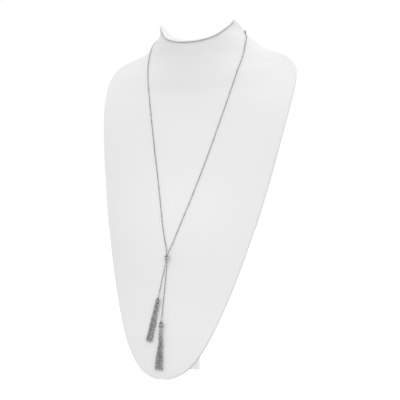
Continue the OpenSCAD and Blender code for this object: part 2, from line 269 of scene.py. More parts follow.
def tube(path, radius, sides, facing):
    """A round tube with flat ends. A ring stands across the path at each point, and its radius
    may change along the path."""
    _, front, across = frames_along(path, facing)
    turn = (2 * np.pi * np.arange(sides) / sides)[None, :, None]
    ring = np.cos(turn) * across[:, None] + np.sin(turn) * front[:, None]
    points = path[:, None] + np.reshape(radius, (-1, 1, 1)) * ring
    last = (len(path) - 1) * sides
    ends = np.stack([np.arange(sides)[::-1], last + np.arange(sides)])
    along = np.repeat(lengths_along(path), sides)
    around = np.tile(np.arange(sides) / sides, len(path))
    faces = grid_faces(len(path), sides, closed_columns=True)[:, ::-1]
    return points.reshape(-1, 3), [faces, ends[:, ::-1]], np.stack([along, around], -1)


def turned(outline, segments):
    """A closed outline of radius and height turned round the z axis."""
    r, h = np.asarray(outline, float).T[:, None]
    turn = (2 * np.pi * np.arange(segments) / segments)[:, None]
    points = np.stack([r * np.cos(turn), r * np.sin(turn), h + 0 * turn], -1)
    return points.reshape(-1, 3), grid_faces(segments, len(outline), True, True)


def torus(radius, wire, segments, sides):
    """A ring of round wire that lies in the plane z = 0."""
    a = 2 * np.pi * np.arange(sides) / sides
    return turned(np.stack([radius + wire / 2 * np.cos(a), wire / 2 * np.sin(a)], -1), segments)


def stand(points, place, up, face):
    """Moves points so that their z axis runs along up and their y axis near face."""
    z_axis = unit(up)
    x_axis = unit(np.cross(face, z_axis))
    y_axis = np.cross(z_axis, x_axis)
    return place + points @ np.stack([x_axis, y_axis, z_axis])


def joined(*shapes):
    """Several shapes of points and faces as one."""
    points, faces, start = [], [], 0
    for shape_points, shape_faces in shapes:
        points.append(shape_points)
        faces.append(shape_faces + start)
        start += len(shape_points)
    return np.concatenate(points), faces


# Cable chain

LINK_PLAY = 0.02


def link_shape(length, width, wire, segments, sides):
    """One link: round wire bent to an oval whose ends are half circles joined by straights. The
    link lies in the plane of its first two axes, the first along the chain."""
    a = 2 * np.pi * (np.arange(segments) + 0.5) / segments
    bend = (width - wire) / 2
    straight = (length - width) / 2
    out = np.stack([np.cos(a), np.sin(a), 0 * a], -1)
    middle = bend * out
    middle[:, 0] += straight * np.sign(np.cos(a))
    b = (2 * np.pi * np.arange(sides) / sides)[None, :, None]
    ring = np.cos(b) * out[:, None] + np.sin(b) * np.array([0, 0, 1])
    points = middle[:, None] + wire / 2 * ring
    return points.reshape(-1, 3), grid_faces(segments, sides, True, True)


def chain_links(path, facing, length, width, wire, segments, sides, twist_deg):
    """Links threaded along a path, each a quarter turn from the last. Their spacing is the length
    less two wires, so that each passes through the next with a hair of play. twist_deg gives the
    turn that is added at a share of the way along."""
    shape, faces = link_shape(length, width, wire, segments, sides)
    total = lengths_along(path)[-1]
    count = int(round(total / (length - 2 * wire - LINK_PLAY)))
    stations = (np.arange(count) + 0.5) * total / count
    centres = walk(path, path, stations)
    run, front, across = frames_along(centres, walk(path, facing, stations))
    turn = np.radians(90 * np.arange(count) + twist_deg(np.arange(count) / (count - 1)))
    flat = np.cos(turn)[:, None] * across + np.sin(turn)[:, None] * front
    axes = np.stack([run, flat, np.cross(run, flat)], 1)
    points = centres[:, None] + np.einsum("vk,nkc->nvc", shape, axes)
    all_faces = (faces[None] + (np.arange(count) * len(shape))[:, None, None]).reshape(-1, 4)
    return points.reshape(-1, 3), all_faces


# Shader maths


class Wire:
    """A socket whose value can be used in sums: an operator adds the Math node for it."""

    def __init__(self, recipe, socket):
        self.recipe = recipe
        self.socket = socket

    def other(self, output):
        """Another output of the same node."""
        return Wire(self.recipe, self.socket.node.outputs[output])

    def _math(self, operation, *values):
        return self.recipe.make("ShaderNodeMath", {"operation": operation}, dict(enumerate(values)))

    def __add__(self, other):
        return self._math("ADD", self, other)

    def __sub__(self, other):
        return self._math("SUBTRACT", self, other)

    def __rsub__(self, other):
        return self._math("SUBTRACT", other, self)

    def __mul__(self, other):
        return self._math("MULTIPLY", self, other)

    def sine(self):
        return self._math("SINE", self)

    def at_least(self, other):
        return self._math("MAXIMUM", self, other)

    def below(self, other):
        """1 where the value is less than the other, and 0 elsewhere."""
        return self._math("LESS_THAN", self, other)

    __radd__ = __add__
    __rmul__ = __mul__


class Recipe:
    """The nodes of a material or a world. make() adds one from its type, its settings, which are
    set first, and the values or links of its sockets, and gives back one of its outputs."""

    def __init__(self, owner):
        owner.use_nodes = True
        self.owner = owner
        self.tree = owner.node_tree
        self.tree.nodes.clear()

    def make(self, kind, settings=None, sockets=None, output=0):
        node = self.tree.nodes.new(kind)
        for key, value in (settings or {}).items():
            if key == "stops":
                for stop, (place, colour) in zip(self._stops(node, len(value)), value):
                    stop.position = place
                    stop.color = colour
            else:
                setattr(node, key, value)
        for key, value in (sockets or {}).items():
            if isinstance(value, Wire):
                self.tree.links.new(value.socket, node.inputs[key])
            else:
                node.inputs[key].default_value = value
        return Wire(self, node.outputs[output]) if len(node.outputs) else None

    def _stops(self, node, count):
        stops = node.color_ramp.elements
        while len(stops) < count:
            stops.new(0.5)
        return stops

    def place(self):
        """A point's place on the object, in metres."""
        return self.make("ShaderNodeTexCoord", output="Object")

    def noise(self, per_metre, detail, vector=None):
        """Soft noise with so many cells to the metre, from 0 to 1."""
        return self.make(
            "ShaderNodeTexNoise",
            {"noise_dimensions": "3D"},
            {"Vector": vector or self.place(), "Scale": per_metre, "Detail": detail},
        )

    def blend(self, factor, first, second):
        """A colour between two, by a factor. The sockets are the Mix node's colour ones."""
        return self.make(
            "ShaderNodeMix", {"data_type": "RGBA"}, {0: factor, 6: first, 7: second}, output=2
        )

    def bump(self, height, strength, distance):
        """A normal from a height of 0 to 1, which stands for so many metres."""
        return self.make(
            "ShaderNodeBump", {}, {"Height": height, "Strength": strength, "Distance": distance}
        )

    def surface(self, **sockets):
        """The finished surface. A space in a socket's name is written as an underline."""
        named = {key.replace("_", " "): value for key, value in sockets.items()}
        shader = self.make("ShaderNodeBsdfPrincipled", {}, named)
        self.make("ShaderNodeOutputMaterial", {}, {"Surface": shader})
        return self.owner


# Materials. A tone is the grey of a base colour.

COVER_TONE = 0.87
# The strut's tone is above the cover's: painted light against the shade it stands in behind the
# bust.
LIGHTENED_BOARD_TONE = 0.97
PIPING_TONE = 0.56
CHAIN_TONE = 0.62
# The fringe's tone is above the chain's for the same silver: painted light against the shade among
# the strands.
LIGHTENED_FRINGE_TONE = 0.84
BEAD_TONE = 0.7
CAP_TONE = 0.42
PATTERN = "pattern"
RIB_PITCH = 0.55
HAIR_LINES = (9000, 9000, 700)
WHITE = (1, 1, 1, 1)


def grey(value, warmth=0.0):
    """A near-neutral colour."""
    return (value * (1 + warmth), value, value * (1 - warmth), 1)


def leatherette():
    """White bust cover: a fine pebble grain and the faintest change of tone."""
    r = Recipe(bpy.data.materials.new("white_leatherette"))
    cells = r.make(
        "ShaderNodeTexVoronoi",
        {"feature": "SMOOTH_F1"},
        {"Vector": r.place(), "Scale": 1100.0, "Smoothness": 0.6},
    )
    pores = r.noise(per_metre=2600, detail=2)
    cloud = r.noise(per_metre=14, detail=3)
    colour = r.blend(cloud, grey(COVER_TONE * 0.985), grey(COVER_TONE))
    height = cells * 0.7 + pores * 0.3
    return r.surface(
        Base_Color=colour,
        Roughness=0.62 + cloud * 0.1,
        Normal=r.bump(height, strength=0.35, distance=0.06 * MM),
        Specular_IOR_Level=0.25,
    )


def piping_cloth():
    """The bound edge: pale grey thread laid round a cord, so its ribs slant along the length. They
    are a sine of the way along, in pitches, and the way around, in turns."""
    r = Recipe(bpy.data.materials.new("grey_piping"))
    uv = r.make("ShaderNodeUVMap", {"uv_map": PATTERN})
    along = r.make("ShaderNodeSeparateXYZ", {}, {"Vector": uv})
    around = along.other(1)
    ribs = (along * (2 * math.pi / RIB_PITCH) + around * (2 * math.pi)).sine() * 0.5 + 0.5
    fuzz = r.noise(per_metre=3000, detail=3)
    colour = r.blend(ribs * 0.6 + fuzz * 0.4, grey(PIPING_TONE * 0.8), grey(PIPING_TONE * 1.12))
    return r.surface(
        Base_Color=colour,
        Roughness=0.8,
        Normal=r.bump(ribs * 0.8 + fuzz * 0.2, strength=0.6, distance=0.1 * MM),
        Specular_IOR_Level=0.2,
    )


def strut_board():
    """The strut: white cover over board, a little less fine, with painted light: its tone is
    lighter than the bust's cover to offset the shade it stands in behind the bust.
    """
    r = Recipe(bpy.data.materials.new("covered_board"))
    grain = r.noise(per_metre=900, detail=4)
    cloud = r.noise(per_metre=20, detail=2)
    return r.surface(
        Base_Color=r.blend(cloud, grey(LIGHTENED_BOARD_TONE * 0.99), grey(LIGHTENED_BOARD_TONE)),
        Roughness=0.65 + cloud * 0.1,
        Normal=r.bump(grain, strength=0.3, distance=0.08 * MM),
        Specular_IOR_Level=0.25,
    )


def chain_silver(name, tone, spread):
    """Bright silver wire: each link takes its own tone and polish. spread is how far the tones go
    to either side of the middle one."""
    r = Recipe(bpy.data.materials.new(name))
    patches = (r.noise(per_metre=480, detail=0) - 0.5) * 3 + 0.5
    wear = r.noise(per_metre=5000, detail=2)
    colour = r.blend(patches, grey(tone * (1 - spread), 0.01), grey(tone * (1 + spread), 0.004))
    return r.surface(
        Base_Color=colour,
        Metallic=1.0,
        Roughness=0.16 + patches * 0.16,
        Normal=r.bump(wear, strength=0.15, distance=0.02 * MM),
    )


def polished_silver(name, tone):
    """The bead, caps and rings: mirror bright, with hair lines from handling."""
    r = Recipe(bpy.data.materials.new(name))
    drawn_out = r.make("ShaderNodeMapping", {}, {"Vector": r.place(), "Scale": HAIR_LINES})
    hair = r.noise(per_metre=1, detail=3, vector=drawn_out)
    cloud = r.noise(per_metre=500, detail=2)
    return r.surface(
        Base_Color=r.blend(cloud, grey(tone * 0.92, 0.01), grey(tone * 1.08, 0.004)),
        Metallic=1.0,
        Roughness=0.07 + hair * 0.09,
        Normal=r.bump(hair, strength=0.08, distance=0.02 * MM),
    )


# Camera: the photograph's, from where the bust's toe shows in its frame

FRAME_PIXELS = 400
FOCAL_PIXELS = 1020
SENSOR_MM = 36
YAW_DEG = 25
TOE_PIXEL = np.array([163.1, 379.0])
TOE_MM_PER_PIXEL = 1.22


def make_camera():
    """A level camera, turned to the bust's left. It stands back from the toe by the focal length
    times the toe's scale, and aside and up by the toe's place in the frame."""
    yaw = math.radians(YAW_DEG)
    ahead = np.array([-math.sin(yaw), math.cos(yaw), 0])
    right = np.array([math.cos(yaw), math.sin(yaw), 0])
    aside, below = (TOE_PIXEL - FRAME_PIXELS / 2) * TOE_MM_PER_PIXEL
    back = FOCAL_PIXELS * TOE_MM_PER_PIXEL
    place = -back * ahead - aside * right + np.array([0, -MIDDLE_Y, below])
    data = bpy.data.cameras.new("camera")
    data.sensor_width = SENSOR_MM
    data.lens = FOCAL_PIXELS / FRAME_PIXELS * SENSOR_MM
    data.clip_start = 0.05
    data.clip_end = 50
    camera = bpy.data.objects.new("camera", data)
    camera.location = place * MM
    camera.rotation_euler = (math.pi / 2, 0, yaw)
    bpy.context.scene.collection.objects.link(camera)
    bpy.context.scene.camera = camera


make_camera()


# Stage and light. SILVER_ROOM is what silver mirrors: greys at stops of height, from straight down
# at 0 to straight up at 1.

LEVEL_LIGHT = 0.905
UPWARD_GAIN = 0.8
OVERHEAD_LOSS = 0.65
SILVER_ROOM = [
    (0.0, 0.5), (0.36, 0.42), (0.46, 0.6), (0.52, 1.05), (0.57, 0.95), (0.63, 0.3), (0.8, 0.25),
    (1.0, 0.4)]
FLOOR_HALF = 6000
FLOOR_TONE = 0.9
FLOOR_GLOW = 0.75
SIDE_WATTS = 0.75
TABLE_WATTS = 0.3
UNDER_WATTS = 0.09


def make_room():
    """A white room. The camera sees pure white. Matt surfaces are lit by a light that grows with
    height, and less so overhead, also by way of the silver beside them: level light, plus a gain
    times the height, less a loss times the height squared. Silver itself shows a grey room with a
    bright band at eye level."""
    world = bpy.data.worlds.new("room")
    bpy.context.scene.world = world
    r = Recipe(world)
    way = r.make("ShaderNodeSeparateXYZ", {}, {0: r.make("ShaderNodeTexCoord")}, output=2)
    walls = r.make(
        "ShaderNodeValToRGB",
        {"stops": [(place, grey(value)) for place, value in SILVER_ROOM]},
        {0: way * 0.5 + 0.5},
    )
    to_camera = r.make("ShaderNodeLightPath", output="Is Camera Ray")
    from_silver = to_camera.other("Is Glossy Ray") * to_camera.other("Diffuse Depth").below(0.5)
    above = way.at_least(0)
    strength = way * UPWARD_GAIN + LEVEL_LIGHT - above * above * OVERHEAD_LOSS
    soft = r.make("ShaderNodeBackground", {}, {"Color": WHITE, "Strength": strength})
    mirrored = r.make("ShaderNodeBackground", {}, {"Color": walls, "Strength": 1})
    seen = r.make("ShaderNodeBackground", {}, {"Color": WHITE, "Strength": 1})
    unseen = r.make("ShaderNodeMixShader", {}, {0: from_silver, 1: soft, 2: mirrored})
    both = r.make("ShaderNodeMixShader", {}, {0: to_camera, 1: unseen, 2: seen})
    r.make("ShaderNodeOutputWorld", {}, {"Surface": both})


def make_floor():
    """A plain white sweep, bright enough to hold only the closest shadow. It is kept out of the
    light that falls on the piece, which the room gives from below too."""
    r = Recipe(bpy.data.materials.new("white_floor"))
    glow = r.make("ShaderNodeEmission", {}, {"Color": WHITE, "Strength": FLOOR_GLOW})
    matt = r.make("ShaderNodeBsdfDiffuse", {}, {"Color": grey(FLOOR_TONE)})
    both = r.make("ShaderNodeAddShader", {}, {0: glow, 1: matt})
    r.make("ShaderNodeOutputMaterial", {}, {"Surface": both})
    corners = FLOOR_HALF * np.array([(-1, -1, 0), (1, -1, 0), (1, 1, 0), (-1, 1, 0)])
    floor = mesh_piece("floor", corners, np.arange(4)[None], r.owner)
    floor.visible_diffuse = False
    floor.visible_glossy = False


def soft_box(name, place, aim, width, height, watts):
    """A rectangular soft light, in millimetres, turned to face a point. Silver does not mirror
    it: the room's own bands stand for all that silver mirrors."""
    data = bpy.data.lights.new(name, "AREA")
    data.shape = "RECTANGLE"
    data.size = width * MM
    data.size_y = height * MM
    data.energy = watts
    light = bpy.data.objects.new(name, data)
    light.location = Vector(place) * MM
    light.rotation_euler = (Vector(aim) - Vector(place)).to_track_quat("-Z", "Y").to_euler()
    light.visible_camera = False
    light.visible_glossy = False
    bpy.context.scene.collection.objects.link(light)
    return light


def make_lights():
    """The light that the table throws back on the lower chest, and weak light from the bust's
    left."""
    soft_box("table", place=(60, -560, 30), aim=(0, 0, 90), width=900, height=300,
             watts=TABLE_WATTS)
    soft_box("side", place=(900, -700, 700), aim=(0, 0, 400), width=900, height=900,
             watts=SIDE_WATTS)


make_room()
make_floor()
make_lights()
view = bpy.context.scene.view_settings
view.view_transform = "Standard"
view.look = "None"
view.exposure = 0
view.gamma = 1


# The neck bust. Its side edges are sharp up to the fullness SHARP_FULL, which is on the neck, and
# fully rounded from ROUND_FULL on.

COLUMNS = 120
CORNER_POINTS = 5
RINGS_A_ROW = 5
NECK_RINGS = 30
RIM_RINGS = 4
SCOOP_ROWS = 8
EDGE_ROUND = 1.5
SHARP_FULL = 0.6
ROUND_FULL = 1
BACK_ROUND = 1.7
RIM_ROUND = 1.0
ACROSS = np.sin(np.radians(np.linspace(-90, 90, COLUMNS + 1)))


def bust_ring(z_front, z_back, inset):
    """One ring of the bust, from its left edge over the front, round the right edge and back
    along the flat. Near each edge the front bends back by a quarter circle. inset draws the whole
    ring in, square to its outline."""
    half = section(z_front, HALF_W)
    x = ACROSS * half
    roundness = (section(z_front, FULL) - SHARP_FULL) / (ROUND_FULL - SHARP_FULL)
    soft = EDGE_ROUND * ease(roundness)
    reach = np.clip((np.abs(x) - (half - EDGE_ROUND)) / EDGE_ROUND, 0, 1)
    y = front_y(x, z_front) + soft * (1 - np.sqrt(1 - reach**2))
    way = np.stack([np.gradient(x), np.gradient(y)], -1)
    inward = unit(np.stack([-way[:, 1], way[:, 0]], -1))
    front = np.stack([x + inset * inward[:, 0], y + inset * inward[:, 1], z_front], -1)
    half_back = back_half_w(z_back) - inset
    back = section(z_back, BACK) - inset
    rear = np.stack([ACROSS * (half_back - BACK_ROUND), back, z_back], -1)
    bend = np.radians(90 * np.arange(CORNER_POINTS) / CORNER_POINTS)
    corner_x = half_back[-1] - BACK_ROUND + BACK_ROUND * np.cos(bend)
    corner_y = back[-1] - BACK_ROUND + BACK_ROUND * np.sin(bend)
    right = np.stack([corner_x, corner_y, 0 * bend + z_back[-1]], -1)
    left = right[::-1] * np.array([-1, 1, 1])
    return np.concatenate([front, right, rear[::-1], left])


def neck_bust(cover):
    """The padded form: rings up the body, rings that bend up to the neck's rim, a rounded rim,
    and a scoop ruled from the front rim to the rear one."""
    rows = SECTIONS[:, Z]
    rows = rows[rows <= NECK_Z]
    levels = np.concatenate(
        [np.linspace(a, b, RINGS_A_ROW, endpoint=False) for a, b in zip(rows[:-1], rows[1:])]
    )
    flat = np.ones(COLUMNS + 1)
    rings = [bust_ring(z * flat, z * flat, 0) for z in levels]
    top_front = rim_front(ACROSS) - RIM_ROUND
    top_back = rim_back(ACROSS) - RIM_ROUND
    for v in np.linspace(0, 1, NECK_RINGS + 1):
        rings.append(bust_ring(mix(NECK_Z, top_front, v), mix(NECK_Z, top_back, v), 0))
    for roll in np.radians(90 * np.arange(1, RIM_RINGS + 1) / RIM_RINGS):
        rise = RIM_ROUND * math.sin(roll)
        inset = RIM_ROUND * (1 - math.cos(roll))
        rings.append(bust_ring(top_front + rise, top_back + rise, inset))
    rings = np.array(rings)
    count, around = rings.shape[:2]
    points = rings.reshape(-1, 3)
    faces = [grid_faces(count, around, closed_columns=True)]
    faces.append(np.arange(around)[None, ::-1])
    last = (count - 1) * around
    front = last + np.arange(COLUMNS + 1)
    rear = last + COLUMNS + 1 + CORNER_POINTS + np.arange(COLUMNS + 1)[::-1]
    shares = np.arange(1, SCOOP_ROWS)[:, None, None] / SCOOP_ROWS
    middle = mix(points[front][None], points[rear][None], shares)
    inner = len(points) + np.arange(middle[..., 0].size).reshape(middle.shape[:2])
    points = np.concatenate([points, middle.reshape(-1, 3)])
    net = np.concatenate([front[None], inner, rear[None]])
    quads = np.stack([net[:-1, :-1], net[:-1, 1:], net[1:, 1:], net[1:, :-1]], -1)
    faces.append(quads.reshape(-1, 4))
    right = last + COLUMNS + 1 + np.arange(CORNER_POINTS)
    left = last + 2 * (COLUMNS + 1) + CORNER_POINTS + np.arange(CORNER_POINTS)
    faces.append(np.concatenate([[net[0, -1]], right, net[::-1, -1][:-1]])[None])
    faces.append(np.concatenate([net[:, 0], left])[None])
    piece = mesh_piece("bust_form", points, faces, cover, sharp_deg=48)
    dress(piece, "bust_cover", "neck_bust")


PIPING_D = 1.3
PIPING_BELOW = 2.1
PIPING_GAP = 0.15
PIPING_SHORT_DEG = 1
PIPING_POINTS = 260
PIPING_SIDES = 12
PIPING_TIP = 0.35
PIPING_GROWS = (26, 6)


def neck_piping(cloth):
    """The thin cord sewn just under the rim, from tip to tip. At each end it has a share of its
    thickness and grows by the whole of it over so many points, more slowly at the left tip."""
    reach_deg = TIP_DEG - PIPING_SHORT_DEG
    u = np.sin(np.radians(np.linspace(-reach_deg, reach_deg, PIPING_POINTS)))
    z = rim_front(u) - PIPING_BELOW
    path = on_bust(u * section(z, HALF_W), z, PIPING_D / 2 + PIPING_GAP)
    from_left = np.arange(PIPING_POINTS)
    grown = np.minimum(from_left / PIPING_GROWS[0], from_left[::-1] / PIPING_GROWS[1])
    radius = PIPING_D / 2 * np.minimum(1, PIPING_TIP + grown)
    facing = outward(path[:, 0], z)
    points, faces, uv = tube(path, radius, PIPING_SIDES, facing)
    piece = mesh_piece("rim_piping", points, faces, cloth, uv)
    dress(piece, "piping", "neck_piping")


# The easel strut

STRUT_W = 44
STRUT_FOOT_W = 24
STRUT_T = 6
STRUT_FOOT_Y = 81
STRUT_TOP = 200
STRUT_PAD = 30
STRUT_PAD_T = 2.5
STRUT_GAP = 0.25
STRUT_ROUND = 0.8


def easel_strut(board):
    """The strut's outline, seen from the side, carried across its width with rounded rims. It
    starts as a pad that is fixed to the back, above the bend."""
    pad_top = STRUT_TOP + STRUT_PAD
    bend_y, pad_y = (float(section(z, BACK)) + STRUT_GAP for z in (STRUT_TOP, pad_top))
    outline = np.array([
        (pad_y, pad_top),
        (bend_y, STRUT_TOP),
        (STRUT_FOOT_Y - STRUT_T / 2, 0),
        (STRUT_FOOT_Y + STRUT_T / 2, 0),
        (bend_y + STRUT_T, STRUT_TOP),
        (pad_y + STRUT_PAD_T, pad_top)])
    half = np.interp(outline[:, 1], (0, STRUT_TOP), (STRUT_FOOT_W / 2, STRUT_W / 2))[:, None]
    points = np.concatenate([np.hstack([-half, outline]), np.hstack([half, outline])])
    n = len(outline)
    left = np.arange(n)
    after = (left + 1) % n
    rims = np.stack([left + n, after + n, after, left], -1)
    faces = [rims, left[None], left[None, ::-1] + n]
    piece = mesh_piece("strut_board", points, faces, board, sharp_deg=40)
    bevel = piece.modifiers.new("rounded_rims", "BEVEL")
    bevel.width = STRUT_ROUND * MM
    bevel.segments = 3
    bevel.limit_method = "ANGLE"
    bevel.angle_limit = math.radians(20)
    dress(piece, "strut_board", "easel_strut")
    return piece


def light_from_table(piece):
    """The light that the white table under and before the strut throws up on it alone. The bust
    has it from the room already."""
    alone = bpy.data.collections.new("lit_from_table")
    alone.objects.link(piece)
    light = soft_box("under", place=(120, -60, 5), aim=(0, STRUT_FOOT_Y, 30), width=260,
                     height=160, watts=UNDER_WATTS)
    light.light_linking.receiver_collection = alone


# The necklace's route, as the construction has it. A point on the front is given by x, z and its
# rise from the bed, and a point round the nape by x, how far behind the flat back it is, and z.
# Each strand runs straight for SLIDER_RUN of the bead's height on either side of its middle. The
# strands are moved aside with the bead, less and less up to the height ASIDE_TO.

CHAIN_D = 1.4
CHAIN_GAP = 0.25
SLIDER_D = 6.2
SLIDER_H = 7
SLIDER_BORE = 3.6
SLIDER_Z = 147
SLIDER_LIFT = SLIDER_D / 2 + 0.2
SLIDER_RUN = 0.56
STRAND_HALF = 0.8
STRAND = [
    (1.3, 153.5, 1.7), (2.5, 158, 0.6), (5.4, 166, 0), (11.4, 185, 0), (20.2, 215, 0),
    (28.7, 245, 0), (37.1, 275, 0), (45, 305, 0), (52.7, 335, 0), (57.9, 356, 0),
    (62.5, 376, 0), (65.2, 389, 0.1), (66.7, 397, 0.2), (67.6, 406, 0.2), (67.5, 414, 0.2),
    (67.3, 420.5, 0.2), (66.4, 426, 0.2), (65.1, 429, 0.2), (63.7, 431, 0.2)]
NAPE = [
    (62.2, -13.4, 434.6), (61.2, -12.2, 436.4), (60.7, -10.4, 437.4), (60.7, -8.4, 437.8),
    (59.4, -4.4, 437.3), (57.9, 0.1, 436.4), (57.1, 1, 436.1), (55.8, 1.2, 435.8),
    (53.8, 1.5, 435.3), (44, 2, 433), (30, 2.7, 430.5), (15, 3.3, 428.6), (0, 3.5, 428)]
DROP_A = [
    (-2.1, 140.4, 1.7), (-3.2, 136.4, 0.6), (-4.4, 131, 0), (-5.6, 125, 0), (-6.8, 118.5, 0),
    (-7.9, 111, 0), (-8.4, 107, 0.5), (-8.7, 104, 1.3), (-8.7, 101.3, 2)]
DROP_B = [
    (-0.1, 140.4, 1.7), (-0.8, 136.4, 0.6), (-1.3, 131, 0), (-1.6, 122, 0), (-2, 112, 0),
    (-2.4, 102, 0), (-2.8, 91, 0), (-2.8, 82, 0), (-2.7, 78.5, 0.5), (-2.6, 76, 1.2),
    (-2.5, 73.3, 2)]
SLIDER_X = -0.6
SLIDER_REACH = 4
ASIDE_TO = 215
SPAN_STEPS = 12
ROUTE_PER_MM = 4
SMOOTH_POINTS = 9
NECK_MIDDLE_Y = 80
LINK_L = 2.0
LINK_W = 1.4
LINK_WIRE = 0.38
LINK_TURN_DEG = 45
WANDER_DEG = 28
WANDER_WAVES = 4.5
WANDER_RATE = 30
BEAD_POINTS = 49
BEAD_WALL_POINTS = 9
BEAD_LIP_W = 0.12
BEAD_LIP_H = 0.15
AROUND = 64

slider_at = on_bust(SLIDER_X, SLIDER_Z, SLIDER_LIFT)
slider_up = unit(
    on_bust(SLIDER_X, SLIDER_Z + SLIDER_REACH, SLIDER_LIFT)
    - on_bust(SLIDER_X, SLIDER_Z - SLIDER_REACH, SLIDER_LIFT)
)


def bedded(points):
    """A stretch that lies on the front of the bust, as a curve through its route points."""
    x, z, rise = curve_through(points, SPAN_STEPS).T
    return on_bust(x, z, CHAIN_D / 2 + CHAIN_GAP + rise)


def strand(side):
    """The right strand at side 1, or its mirror image at -1, moved aside with the bead."""
    points = np.array(STRAND, float)
    follows = np.interp(points[:, 1], (SLIDER_Z, ASIDE_TO), (1, 0))
    points[:, 0] = side * points[:, 0] + SLIDER_X * follows
    return bedded(points)


def in_slider(side):
    """A strand's straight run through the bead, from bottom to top."""
    share = np.array([-SLIDER_RUN, 0, SLIDER_RUN])[:, None]
    return slider_at + SLIDER_H * share * slider_up + np.array([side * STRAND_HALF, 0, 0])


def chain_path():
    """The whole chain: from the upper tassel up through the bead, round the neck, and down
    through the bead to the lower tassel, then evened out and smoothed by a running mean that
    weighs the middle most. Each end is lengthened by its own mirror image for that."""
    x, behind, z = curve_through(NAPE, SPAN_STEPS).T
    nape = np.stack([x, section(z, BACK) + behind, z], -1)
    rough = np.concatenate([
        bedded(DROP_A)[::-1], in_slider(-1), strand(-1), nape * np.array([-1, 1, 1]),
        nape[-2::-1], strand(1)[::-1], in_slider(1)[::-1], bedded(DROP_B)])
    total = lengths_along(rough)[-1]
    even = walk(rough, rough, np.linspace(0, total, int(total * ROUTE_PER_MM)))
    weights = np.hanning(SMOOTH_POINTS)
    weights /= weights.sum()
    spare = SMOOTH_POINTS // 2
    before = 2 * even[0] - even[spare:0:-1]
    after = 2 * even[-1] - even[-2 : -2 - spare : -1]
    padded = np.concatenate([before, even, after])
    return np.stack([np.convolve(column, weights, "valid") for column in padded.T], -1)


def away_from_neck(path):
    """The level way out from the neck's middle, which a chain on the bust faces."""
    return unit(path * np.array([1, 1, 0]) - np.array([0, NECK_MIDDLE_Y, 0]))


def wander(share):
    """How far the links are turned along the chain, in degrees: a slow wave round LINK_TURN_DEG,
    which dies away close to both ends."""
    wave = np.sin(2 * np.pi * WANDER_WAVES * share)
    ends = ease(share * WANDER_RATE) * ease((1 - share) * WANDER_RATE)
    return LINK_TURN_DEG + WANDER_DEG * wave * ends


def necklace_chain(silver):
    """The cable chain: oval links threaded along the whole route."""
    path = chain_path()
    points, faces = chain_links(
        path, away_from_neck(path), LINK_L, LINK_W, LINK_WIRE, segments=12, sides=6,
        twist_deg=wander)
    piece = mesh_piece("cable_chain", points, faces, silver)
    dress(piece, "silver_chain", "chain")


def slider_bead(silver):
    """A barrel bead: a bored ball with a short straight waist. Its lips slant in to the bore."""
    r, bore = SLIDER_D / 2, SLIDER_BORE / 2
    straight = SLIDER_H - SLIDER_D
    lip = math.acos(bore / r)
    a = np.linspace(-lip, lip, BEAD_POINTS)
    ball = np.stack([r * np.cos(a), r * np.sin(a) + np.sign(a) * straight / 2 + SLIDER_H / 2], -1)
    wall_h = np.linspace(ball[-1, 1] - BEAD_LIP_H, ball[0, 1] + BEAD_LIP_H, BEAD_WALL_POINTS)
    wall = np.stack([0 * wall_h + bore - BEAD_LIP_W, wall_h], -1)
    points, faces = turned(np.concatenate([ball, wall]), AROUND)
    face = outward(SLIDER_X, float(SLIDER_Z))
    points = stand(points, slider_at - SLIDER_H / 2 * slider_up, slider_up, face)
    piece = mesh_piece("bead", points, faces, silver, sharp_deg=60)
    dress(piece, "polished_silver", "slider_bead")


# Tassels. A cap's wall stands CAP_STEP further in than its rolled mouth. top is a cap's top on the
# bust, as x and z. half_widths and sway, which is how far the middle hangs aside, are given at
# shares of the way down.

CAP_D = 5.6
CAP_H = 6.2
CAP_LIFT = CAP_D / 2 + 0.2
CAP_HOLLOW = 4.2
CAP_WALL_R = 2.15
CAP_STEP = 0.35
CAP_LIP_W = 0.45
CAP_LIP_H = 0.5
CAP_LIP_POINTS = 13
DOME_DEG = 60
DOME_POINTS = 25
POLE_R = 0.05
HOLLOW_ROUND = 0.4
HOLLOW_FOOT = 0.3
EYE_R = 0.95
EYE_WIRE = 0.6
RING_R = 1.5
RING_WIRE = 0.5
TASSELS = {
    "a": {
        "top": (-9.3, 97), "lean_deg": 8.8, "length": 54,
        "half_widths": [(0, 2), (0.06, 2.5), (0.14, 3), (0.4, 3.5), (0.6, 4), (1, 4.1)],
        "sway": [(0, 0), (0.3, -0.3), (1, -0.8)],
    },
    "b": {
        "top": (-2.5, 69), "lean_deg": 0, "length": 58.5,
        "half_widths": [(0, 1.8), (0.1, 2), (0.3, 2.7), (0.5, 3.9), (0.7, 4.8), (1, 5.5)],
        "sway": [(0, 0), (0.1, 0.5), (0.35, 0.6), (0.6, 0.3), (1, 0)],
    },
}

# The tassels' fine chains. A layer has its height over the bust and its number of chains. A chance
# is the most that a random draw changes, and a rate of 4 reaches its full measure a quarter of the
# way down.

STRAND_LINK_L = 2.7
STRAND_LINK_W = 1.7
STRAND_WIRE = 0.42
LAYERS = [(0.95, 6), (1.9, 5), (2.8, 5)]
LAYER_IN_CAP = 1.2
LAYER_ROUND = 0.3
STRAND_POINTS = 90
STRAND_START = CAP_H - CAP_HOLLOW + 0.8
SPREAD_FROM = CAP_H * 0.8
PLACE_CHANCE = 0.07
SHORTER_CHANCE = 0.05
SHORTER_OUTSIDE = 0.015
WAVE = 0.3
WAVE_TURNS = (1.5, 3)
RIPPLE = 0.18
RIPPLE_MORE_TURNS = 0.6
RIPPLE_PHASE = 1.7
FREE_RATE = 4
LIFT_RATE = 2.4
LEAST_LIFT = 0.85
STRAND_TWIST_DEG = 40


def down_bust(tassel, along, aside, lift):
    """A point down a tassel: along its axis from the top of the cap, and aside from that."""
    lean = math.radians(tassel["lean_deg"])
    x, z = tassel["top"]
    return on_bust(
        x - along * math.sin(lean) + aside * math.cos(lean),
        z - along * math.cos(lean) - aside * math.sin(lean), lift)


